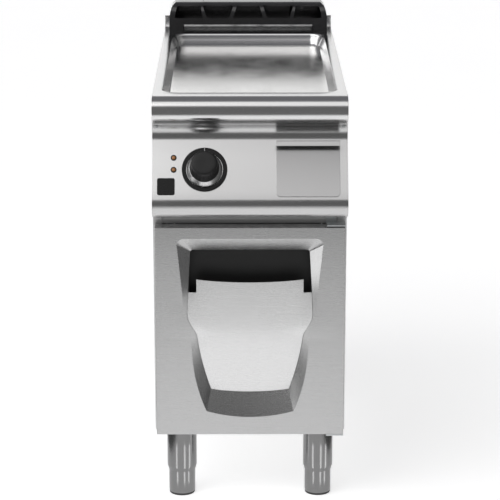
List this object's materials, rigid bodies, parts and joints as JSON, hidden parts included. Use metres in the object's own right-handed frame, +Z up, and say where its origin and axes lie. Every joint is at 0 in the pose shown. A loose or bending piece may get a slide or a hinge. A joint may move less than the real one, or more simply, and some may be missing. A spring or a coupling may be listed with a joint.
{
  "type": "flat top griddle",
  "caption": "Free-standing flat top griddle: recessed smooth cooking plate with fat drain, sloping control panel with dial and drip drawer, flue hood, and a cupboard base on adjustable legs.",
  "frame": {"origin": "on the floor, below the middle of the overall width and depth (the depth runs from the knob's cap to the rear edge)", "axes": "+X to the right seen from the front, -Y out of the front with the control panel and door, +Z up"},
  "size_m": [0.4, 0.948, 0.938],
  "materials": {
    "steel": "satin",
    "steel_inner": "satin",
    "plate_chrome": "polished",
    "zinc": "satin",
    "element": "matt",
    "mineral_board": "matt",
    "black_plastic": "matt",
    "gloss_black": "gloss",
    "amber_lens": "gloss",
    "knurled_metal": "satin",
    "copper": "satin",
    "brass": "satin",
    "white_nylon": "matt",
    "black_enamel": "gloss enamel",
    "leg_steel": "satin"
  },
  "bodies": {
    "chassis": {"worktop": "steel", "griddle_plate": "plate_chrome", "heating_elements": "element", "element_clamp": "zinc", "clamp_studs": "zinc", "insulation_board": "mineral_board", "insulation_tray": "zinc", "drain_chute": "steel_inner", "control_panel": "steel", "panel_screws": "zinc", "dial_bezel": "black_plastic", "thermostat": "black_plastic", "thermostat_bulb": "copper", "lamp_bezels": "black_plastic", "lamp_lenses": "amber_lens", "badge_plate": "gloss_black", "drawer_guides": "steel_inner", "side_panel_left": "steel", "side_panel_right": "steel", "back_panel": "steel_inner", "cabinet_floor": "steel_inner", "service_shelf": "steel_inner", "front_rail": "steel_inner", "terminal_block": "white_nylon", "safety_thermostat": "black_plastic", "cable_gland": "black_plastic", "earth_stud": "brass", "hinge_bracket_upper": "zinc", "hinge_bracket_lower": "zinc", "door_catch": "white_nylon", "front_left_sleeve": "leg_steel", "front_right_sleeve": "leg_steel", "rear_left_sleeve": "leg_steel", "rear_right_sleeve": "leg_steel"},
    "dial": {"knob": "black_plastic", "knob_skirt": "knurled_metal", "spindle": "zinc"},
    "drawer": {"drip_tray": "steel_inner", "drawer_front": "steel"},
    "door": {"door_skin": "steel", "door_liner": "steel_inner", "door_shield": "steel", "pocket_pan": "black_plastic", "door_bushes": "white_nylon", "door_strike": "zinc"},
    "hood": {"flue_hood": "black_enamel"},
    "leg_front_left": {"front_left_leg": "leg_steel"},
    "leg_front_right": {"front_right_leg": "leg_steel"},
    "leg_rear_left": {"rear_left_leg": "leg_steel"},
    "leg_rear_right": {"rear_right_leg": "leg_steel"}
  },
  "joints": [
    {"name": "dial_turn", "type": "hinge", "parent": "chassis", "child": "dial", "pos_m": [-0.0925, -0.42043, 0.72344], "axis": [0, 0.866, -0.5], "range_deg": [0, 270]},
    {"name": "drawer_slide", "type": "slide", "parent": "chassis", "child": "drawer", "axis": [0, -1, 0], "range_m": [0, 0.14]},
    {"name": "door_hinge", "type": "hinge", "parent": "chassis", "child": "door", "pos_m": [0.188, -0.40455, 0.376], "axis": [0, 0, 1], "range_deg": [0, 110]},
    {"name": "hood_lift", "type": "slide", "parent": "chassis", "child": "hood", "axis": [0, 0, 1], "range_m": [0, 0.08]},
    {"name": "front_left_leg_slide", "type": "slide", "parent": "chassis", "child": "leg_front_left", "axis": [0, 0, -1], "range_m": [0, 0.05]},
    {"name": "front_right_leg_slide", "type": "slide", "parent": "chassis", "child": "leg_front_right", "axis": [0, 0, -1], "range_m": [0, 0.05]},
    {"name": "rear_left_leg_slide", "type": "slide", "parent": "chassis", "child": "leg_rear_left", "axis": [0, 0, -1], "range_m": [0, 0.05]},
    {"name": "rear_right_leg_slide", "type": "slide", "parent": "chassis", "child": "leg_rear_right", "axis": [0, 0, -1], "range_m": [0, 0.05]}
  ]
}
